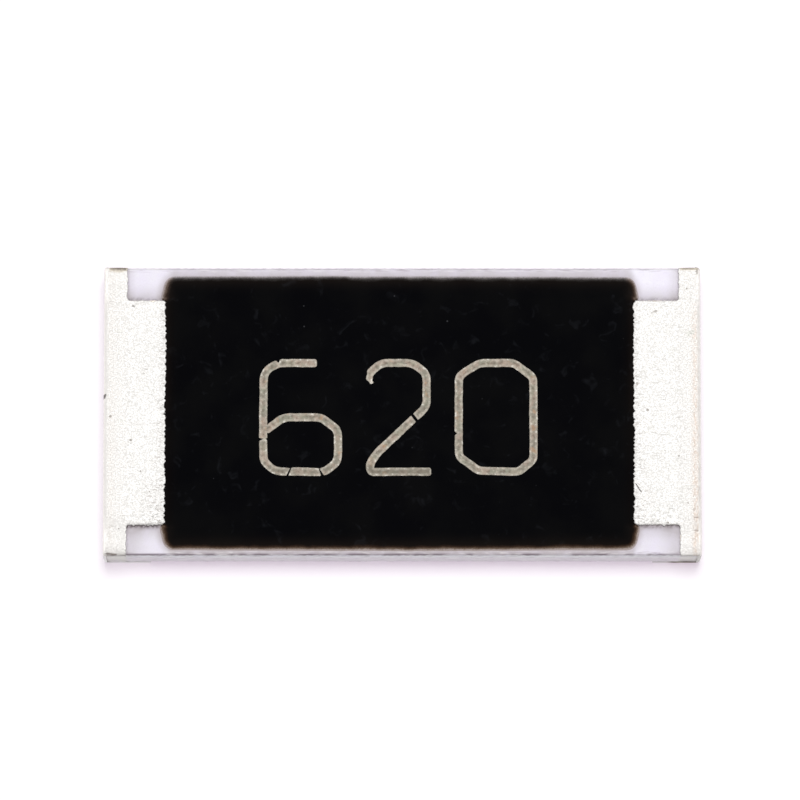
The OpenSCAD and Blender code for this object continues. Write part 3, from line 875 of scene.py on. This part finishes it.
def build_ceramic(material):
    """Alumina slab with scribed grooves, snapped long sides and chipped edges."""
    fine, coarse = 0.013, 0.05
    notch_start = COAT_EDGE_X["right"] - 0.1
    xs = np.concatenate([
        np.arange(-BODY_HIGH[0], -notch_start, fine),
        np.arange(-notch_start, notch_start, coarse / 2),
        np.arange(notch_start, BODY_HIGH[0], fine),
        [BODY_HIGH[0]],
    ])
    half, low, high = BODY_HALF_W, BODY_LOW[2], BODY_HIGH[2]
    inner = LAND_HALF_W - 0.06
    edge_y = np.arange(inner, half - GROOVE_D, fine)
    top_y = np.concatenate([-edge_y[::-1], np.arange(-inner + 0.2, inner - 0.1, 0.2), edge_y])
    top = [(y, high) for y in np.concatenate([[GROOVE_D - half], top_y, [half - GROOVE_D]])]
    levels = np.linspace(0, 1, 9)[1:]
    groove = [(half - GROOVE_D * (1 - t), high - GROOVE_H * t) for t in levels]
    wall = [(half, z) for z in np.linspace(high - GROOVE_H, low + BACK_GROOVE_H, 22)[1:]]
    foot = [(half - BACK_GROOVE_D * t, low + BACK_GROOVE_H * (1 - t)) for t in np.linspace(0, 1, 5)[1:]]
    right_side = groove + wall + foot
    bottom = [(y, low) for y in np.linspace(half - BACK_GROOVE_D, BACK_GROOVE_D - half, 26)[1:-1]]
    left_side = [(-y, z) for y, z in right_side[::-1]]
    section = np.array(top + right_side + bottom + left_side)
    count = len(section)
    grid_x = np.repeat(xs, count)
    y0 = np.tile(section[:, 0], len(xs))
    z0 = np.tile(section[:, 1], len(xs))

    # How far each point lies on a long side, on its groove, or at the top edge
    down = high - z0
    on_side = smooth(np.abs(y0), half - GROOVE_D - 0.004, half - GROOVE_D + 0.004)
    in_groove = on_side * fall(down, GROOVE_H * 0.8, GROOVE_H * 1.15)
    in_wall = on_side - in_groove
    far = np.sign(y0)
    pits = 0.5 + 0.5 * np.sin(2 * math.pi * (grid_x / PIT_PITCH + 0.12 * ripple(grid_x, far, 0.3, 61)))
    streaks = ripple(grid_x, down * 0.25 + far, 0.05, 62)
    lumps = ripple(grid_x, down + far, 0.13, 63)
    inset = in_groove * (0.004 * pits + 0.002 * streaks)
    inset += in_wall * (0.003 + 0.0028 * streaks + 0.0035 * lumps)
    chips = smooth(ripple(grid_x, far, 0.06, 64), 0.35, 0.7) * fall(down, 0.0, 0.012) * on_side
    y = y0 - far * (inset + CHIP_IN * chips)
    z = z0 - CHIP_DOWN * chips

    # Marks that the material shows, and painted shade beside the coat, lands and wraps and on the near side
    half_x, half_y = coat_half()
    from_coat = rounded_box_distance(grid_x - COAT_X, y - PRINT_Y, half_x, half_y, COAT_CORNER_R)
    from_wrap = CHIP_HALF_L - by_end(grid_x, WRAP_L) - np.abs(grid_x)
    from_land = np.abs(y - PRINT_Y) - LAND_HALF_W
    at_ends = smooth(np.abs(grid_x), half_x - 0.08, half_x)
    near_coat = fall(from_coat, 0.0, 0.16 - 0.05 * at_ends)
    near_land = fall(from_land, -0.02, 0.2)
    hug_land = fall(from_land, -0.02, 0.08)
    near_wrap = fall(from_wrap, -0.02, np.where(y < 0, 0.28, np.where(grid_x > 0, 0.17, 0.11)))
    facing_up = 1 - on_side
    low_notch = 0.5 * near_land + 0.45 * hug_land + 0.45 * near_wrap + 0.1
    notch = np.where(y < 0, low_notch, 0.55 * near_land + 0.42 * near_wrap)
    cast = np.where((y > 0) & (grid_x > 0), 0.02, 0.14)
    # Painted shade beside the coat, lands and wraps, deeper along the near side and in its groove
    border_shade = 0.6 * near_coat + at_ends * (notch + cast)
    border_shade += (1 - at_ends) * np.where(y < 0, 0.7, 0.2)
    border_shade = facing_up * np.clip(border_shade, 0, 0.95) + 0.35 * in_groove * (y < 0)
    broken = smooth(ripple(grid_x, far, 0.16, 65), -0.35, 0.3)
    reach = np.where(y0 < 0, 0.045, 0.042)
    depth = np.where(y0 < 0, 0.02, 0.012)
    # Dark line along the top of the grooves, broken up, stronger on the near side
    groove_top_dark = np.exp(-((down - 0.004) / depth) ** 2) * smooth(np.abs(y0), half - reach, half - 0.02)
    groove_top_dark = groove_top_dark * np.where(y0 < 0, 0.35 + 0.6 * broken, 0.26 + 0.18 * broken)
    on_wrap = on_side * smooth(-from_wrap, -0.02, 0.03)
    smear = on_wrap * smooth(lumps, -0.9, 0.1) * 0.8
    # Painted shade low on the near side wall beside the wraps, darker towards the floor
    wrap_low_shade = on_wrap * (y0 < 0) * np.where(grid_x > 0, 0.38, 0.14) * smooth(down, 0.16, 0.42)
    at_notch = facing_up * (from_coat > -0.02) * (np.abs(grid_x) > half_x - 0.05)
    # Dark lines along the land and wrap borders, part residue and part painted shade under the tin's edge
    land_line = np.exp(-((from_land + LAND_TRIM - 0.01) / 0.025) ** 2) * (from_wrap > -0.01)
    wrap_line = np.exp(-((from_wrap - 0.006) / 0.009) ** 2) * (from_land > -0.02)
    spots = smooth(ripple(grid_x, y, 0.03, 66), -0.35, 0.35)
    residue_and_shade = land_line * np.where(y > 0, 0.5, np.where(grid_x > 0, 0.75, 1.1)) + wrap_line * 0.3
    residue_and_shade = at_notch * np.clip(residue_and_shade * (0.4 + 0.6 * spots), 0, 1) + wrap_low_shade
    streaky = np.clip(on_side + smooth(np.abs(y0), half - 0.07, half - 0.03), 0, 1)
    points = np.stack([grid_x, y, z], axis=1)
    faces = []
    for i in range(len(xs) - 1):
        for j in range(count):
            k = (j + 1) % count
            faces.append([i * count + j, (i + 1) * count + j, (i + 1) * count + k, i * count + k])
    faces.append(list(range(count)))
    faces.append([(len(xs) - 1) * count + j for j in range(count - 1, -1, -1)])
    floats = {
        "border_shade": border_shade, "snapped": in_wall * 0.7, "groove_top_dark": groove_top_dark,
        "smear": smear, "residue_and_shade": residue_and_shade, "streaky": streaky,
    }
    piece = make_mesh("alumina_slab", points, faces, material, floats)
    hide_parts("ceramic_body")
    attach(piece, "root")
    return piece


# Marking

STROKE_W = 0.09
INK_T = INK_HIGH[2] - INK_LOW[2]
DIGIT_MID_Y = (INK_LOW[1] + INK_HIGH[1]) / 2
DIGIT_H = INK_HIGH[1] - INK_LOW[1] - STROKE_W
LANES = np.array([-1, -0.86, -0.6, -0.25, 0.25, 0.6, 0.86, 1])
LINE_STEP = 0.011
END_ROUND = 0.022
TAPER_LENGTH = 0.14
SLANT_LENGTH = 0.02
INK_OVER, INK_UNDER = 0.0008, 0.004


class Stroke:
    """A stroke of ink: its middle line as shares of the digit's box, how its ends are cut, and its nicks."""

    def __init__(self, shares, cut=0.05, start_slant=None, end_slant=None, start_taper=0.0, nicks=()):
        self.shares = shares
        self.cut = cut
        self.start_slant = start_slant
        self.end_slant = end_slant
        self.start_taper = start_taper
        self.nicks = nicks


def round_corners(line, cut):
    """Even points along a line whose corners are rounded, each cut back by up to the given length."""
    points = [line[0]]
    for before, corner, after in zip(line[:-2], line[1:-1], line[2:]):
        into, out = corner - before, after - corner
        back = min(cut, 0.48 * np.linalg.norm(into))
        ahead = min(cut, 0.48 * np.linalg.norm(out))
        start = corner - into / np.linalg.norm(into) * back
        end = corner + out / np.linalg.norm(out) * ahead
        for t in np.linspace(0, 1, 9):
            points.append((1 - t) ** 2 * start + 2 * t * (1 - t) * corner + t * t * end)
    points.append(line[-1])
    points = np.array(points)
    run = np.concatenate([[0], np.cumsum(np.linalg.norm(np.diff(points, axis=0), axis=1))])
    keep = np.concatenate([[True], np.diff(run) > 1e-6])
    even = np.linspace(0, run[-1], max(int(run[-1] / LINE_STEP), 3))
    return np.stack([np.interp(even, run[keep], points[keep, i]) for i in (0, 1)], axis=1), even


def stroke_strip(stroke, low, size, seed):
    """Grid of points along and across one stroke."""
    line = np.array([[low[0] + s[0] * size[0], low[1] + s[1] * size[1]] for s in stroke.shares])
    middle, run = round_corners(line, stroke.cut)
    ahead = np.gradient(middle, axis=0)
    ahead /= np.linalg.norm(ahead, axis=1)[:, None]
    normal = np.stack([-ahead[:, 1], ahead[:, 0]], axis=1)
    middle = middle + normal * (0.0035 * ripple(run, seed, 0.3, seed))[:, None]
    half = 0.48 * STROKE_W
    rows = []
    for lane in LANES:
        edge_seed = seed + (3 if lane > 0 else 4)
        width = 1 + 0.07 * ripple(run, edge_seed, 0.12, edge_seed) + 0.05 * ripple(run, 1, 0.035, edge_seed)
        width = half * width
        for end_run, slant in ((run, stroke.start_slant), (run[-1] - run, stroke.end_slant)):
            t = np.clip(1 - end_run / END_ROUND, 0, 1)
            width = width * (1 - (0.42 if slant is None else 0.08) * t ** 3)
        width = width * (1 - stroke.start_taper * fall(run, 0.0, TAPER_LENGTH))
        for place, side, depth, spread in stroke.nicks:
            dip = depth * np.exp(-((run - place) / spread) ** 2)
            if side * lane > 0:
                width = width * (1 - dip)
        from_start = np.exp(-run / SLANT_LENGTH)[:, None]
        from_end = np.exp(-(run[-1] - run) / SLANT_LENGTH)[:, None]
        slant = (stroke.start_slant or 0) * from_start + (stroke.end_slant or 0) * from_end
        slide = ahead * half * lane * slant
        rows.append(middle + normal * (width * lane)[:, None] + slide)
    return np.stack(rows, axis=1)


def build_digit(name, low_x, width, strokes, seed, material, foot_dim=0.0):
    """One digit, from strokes that merge where they cross, with a domed top and uneven edges."""
    low = (low_x, DIGIT_MID_Y - DIGIT_H / 2)
    size = (width, DIGIT_H)
    points, faces = [], []
    for i, stroke in enumerate(strokes):
        strip = stroke_strip(stroke, low, size, seed + 7 * i)
        rows, count = strip.shape[:2]
        base = len(points)
        points += strip.reshape(-1, 2).tolist()
        for r in range(rows - 1):
            for c in range(count - 1):
                a = base + r * count + c
                quad = [a, a + count, a + count + 1, a + 1]
                corners = np.array([points[k] for k in quad])
                turn = np.roll(corners, -1, axis=0)
                area = (corners[:, 0] * turn[:, 1] - corners[:, 1] * turn[:, 0]).sum()
                faces.append(quad if area > 0 else quad[::-1])
    verts, _, tris, _, _, sources = delaunay_2d_cdt([Vector(p) for p in points], [], faces, 1, 1e-6)
    flat = np.array([(v.x, v.y) for v in verts])
    triangles = []
    for t in (t for t, source in zip(tris, sources) if source):
        a, b, c = (flat[i] for i in t)
        area = (b[0] - a[0]) * (c[1] - a[1]) - (c[0] - a[0]) * (b[1] - a[1])
        triangles.append(list(t) if area > 0 else list(t)[::-1])
    rim = np.array(open_sides(triangles))
    gap = segment_distance(flat, flat[rim[:, 0]], flat[rim[:, 1]])
    half = STROKE_W / 2
    dome = np.sqrt(np.clip(1 - (1 - np.clip(gap / (0.45 * half), 0, 1)) ** 2, 0, 1))
    x, y = flat[:, 0], flat[:, 1]
    rough = 0.16 * ripple(x, y, 0.04, seed + 40) + 0.1 * ripple(x, y, 0.16, seed + 41)
    lift = INK_T * dome * (0.85 + rough)
    outer = np.stack([x, y, INK_LOW[2] + INK_OVER + lift], axis=1)
    inner = np.stack([x, y, np.full(len(flat), INK_LOW[2] - INK_UNDER)], axis=1)
    mesh_points, mesh_faces = close_shell(outer, inner, triangles)
    edge = fall(gap, 0.01, 0.6 * half)
    dim = foot_dim * fall(y, low[1] + 0.05, low[1] + 0.1)
    piece = make_mesh(f"ink_{name}", mesh_points, mesh_faces, material, {"edge": edge, "dim": dim})
    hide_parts(name)
    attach(piece, "root")
    return piece


def build_marking(material):
    six_low = box_mm("digit_6")[0][0] + STROKE_W / 2
    two_low = box_mm("digit_2")[0][0] + STROKE_W / 2
    zero_low = INK_LOW[0] + STROKE_W / 2
    wide = INK_HIGH[0] - INK_LOW[0] - STROKE_W
    narrow = 0.6
    build_digit("digit_6", six_low, wide, [
        Stroke([(0.715, 1), (0.2, 1), (0.05, 0.94), (0, 0.87), (0, 0.1), (0.14, 0.01), (0.334, 0)],
               cut=0.06, end_slant=0.36,
               nicks=[(0.405, -1, 0.85, 0.012), (1.3, -1, 1.3, 0.008), (1.3, 1, 0.5, 0.006)]),
        Stroke([(0.357, 0), (0.757, 0)], start_slant=0.36, end_slant=-0.3),
        Stroke([(0.78, 0), (0.86, 0.015), (1, 0.1), (1, 0.385), (0.77, 0.5), (0.27, 0.5), (0.03, 0.375)],
               cut=0.07, start_slant=-0.3),
    ], 70, material, foot_dim=0.3)
    build_digit("digit_2", two_low, narrow, [
        Stroke([(0.03, 0.81), (-0.035, 0.9), (0.19, 1), (0.76, 1), (1, 0.9), (1, 0.6), (0.806, 0.504)],
               cut=0.07, start_taper=0.5, end_slant=0.1,
               nicks=[(0.06, 1, -0.45, 0.018), (0.03, -1, 0.4, 0.012), (0.1, 1, 0.25, 0.012)]),
        Stroke([(0.769, 0.4865), (0.14, 0.18), (0, 0.085), (0, 0), (1.08, 0)], cut=0.05, start_slant=0.1),
    ], 90, material, foot_dim=0.6)
    build_digit("digit_0", zero_low, wide, [
        Stroke([(0, 0.5), (0, 0.87), (0.07, 0.91), (0.29, 1), (0.74, 1), (1, 0.865), (1, 0.5)], cut=0.05),
        Stroke([(1, 0.53), (1, 0.11), (0.8, 0), (0.26, 0.01), (0, 0.14), (0, 0.53)],
               cut=0.05, nicks=[(1.61, 1, 0.6, 0.013)]),
    ], 110, material)


# Layers that stay as the frame has them

# Material, nodes, light and dark screen colours, roughness, metallic share and size of the mottles
INNER_LAYERS = [
    ("fired_silver",
     ("top_electrode_left", "top_electrode_right", "back_electrode_left", "back_electrode_right"),
     (214, 211, 204), (184, 180, 172), 0.55, 0.8, 0.06),
    ("resistor_paste", ("resistor_film",), (66, 62, 60), (40, 38, 38), 0.7, 0.0, 0.08),
    ("fired_glass", ("glass_coat",), (126, 150, 138), (98, 124, 112), 0.25, 0.0, 0.2),
    ("end_film", ("edge_film_left", "edge_film_right"), (158, 154, 150), (120, 116, 112), 0.5, 0.9, 0.05),
    ("plated_nickel", ("nickel_layer_left", "nickel_layer_right"),
     (176, 168, 156), (138, 130, 120), 0.45, 0.9, 0.05),
]


def dress_inner_layers():
    for name, nodes, *looks in INNER_LAYERS:
        material = plain_material(name, *looks)
        for node in nodes:
            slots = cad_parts[node].data.materials
            slots.clear()
            slots.append(material)


# Floor, light and camera

FLOOR_HALF = 150.0
FLOOR_ALBEDO = (0.69, 0.74, 0.69)
FLOOR_GLOW = (0.385, 0.29, 0.385)
WORLD_FILL = 0.42
KEY = {"size": (36.0, 44.0), "distance": 120.0, "elevation": 78.0, "radiance": 16.75, "x": 3.0}
FRONT = {"size": (160.0, 60.0), "distance": 150.0, "elevation": 162.0, "radiance": 1.6, "x": 0.0}
CAMERA_DISTANCE, CAMERA_ELEVATION, CAMERA_LENS = 70.0, 81.48, 294.68
CAMERA_AIM = (-0.0191, 0.1532, 0.3)


def build_floor():
    """Pale floor, which glows only for the camera and for reflections."""
    material = bpy.data.materials.new("pale_floor")
    material.use_nodes = True
    material.node_tree.nodes.clear()
    nodes = Nodes(material.node_tree)
    seen = nodes.seen_by("Is Camera Ray", "Is Glossy Ray")
    diffuse = nodes.node("BsdfDiffuse", {"Color": FLOOR_ALBEDO}).outputs["BSDF"]
    glow = nodes.node("Emission", {"Color": FLOOR_GLOW, "Strength": seen}).outputs["Emission"]
    both = nodes.node("AddShader", {0: diffuse, 1: glow}).outputs["Shader"]
    nodes.node("OutputMaterial", {"Surface": both})
    h = FLOOR_HALF
    corners = [(-h, -h, 0), (h, -h, 0), (h, h, 0), (-h, h, 0)]
    floor = make_mesh("floor", corners, [[0, 1, 2, 3]], material, flat=True)


def build_world():
    """White where the camera, a reflection or glass sees it, and a softer fill for everything else."""
    world = bpy.data.worlds.new("studio")
    bpy.context.scene.world = world
    world.use_nodes = True
    nodes = Nodes(world.node_tree)
    background = world.node_tree.nodes["Background"]
    seen = nodes.seen_by("Is Camera Ray", "Is Glossy Ray", "Is Transmission Ray")
    strength = nodes.node("MapRange", {"Value": seen, "To Min": WORLD_FILL, "To Max": 1.0})
    nodes.link((1.0, 1.0, 1.0), background.inputs["Color"])
    nodes.link(strength.outputs["Result"], background.inputs["Strength"])


def aim(thing, place, target):
    thing.location = Vector(place) * MM
    direction = (Vector(target) - Vector(place)).normalized()
    thing.rotation_euler = direction.to_track_quat("-Z", "Y").to_euler()


def build_softbox(name, box):
    """Soft lamp over the chip's length, whose elevation is counted from the +Y horizon."""
    lamp = bpy.data.lights.new(name, "AREA")
    lamp.shape = "RECTANGLE"
    lamp.size, lamp.size_y = (s * MM for s in box["size"])
    lamp.energy = box["radiance"] * math.pi * lamp.size * lamp.size_y
    angle = math.radians(box["elevation"])
    place = (box["x"], box["distance"] * math.cos(angle), box["distance"] * math.sin(angle))
    aim(add_object(name, lamp), place, (0, 0, 0))


def build_camera():
    data = bpy.data.cameras.new("camera")
    data.lens = CAMERA_LENS
    data.sensor_width = 36
    data.clip_start = 1.0 * MM
    data.clip_end = 5000 * MM
    camera = add_object("camera", data)
    angle = math.radians(CAMERA_ELEVATION)
    place = Vector(CAMERA_AIM) + Vector((0, -math.cos(angle), math.sin(angle))) * CAMERA_DISTANCE
    aim(camera, place, CAMERA_AIM)
    bpy.context.scene.camera = camera


def main():
    tin = tin_material()
    for end in ("left", "right"):
        build_tin(end, tin)
    build_ceramic(ceramic_material())
    build_coat(coat_material())
    build_marking(ink_material())
    dress_inner_layers()
    build_floor()
    build_world()
    build_softbox("key_softbox", KEY)
    build_softbox("front_softbox", FRONT)
    build_camera()
    bpy.context.scene.view_settings.view_transform = "Standard"


main()
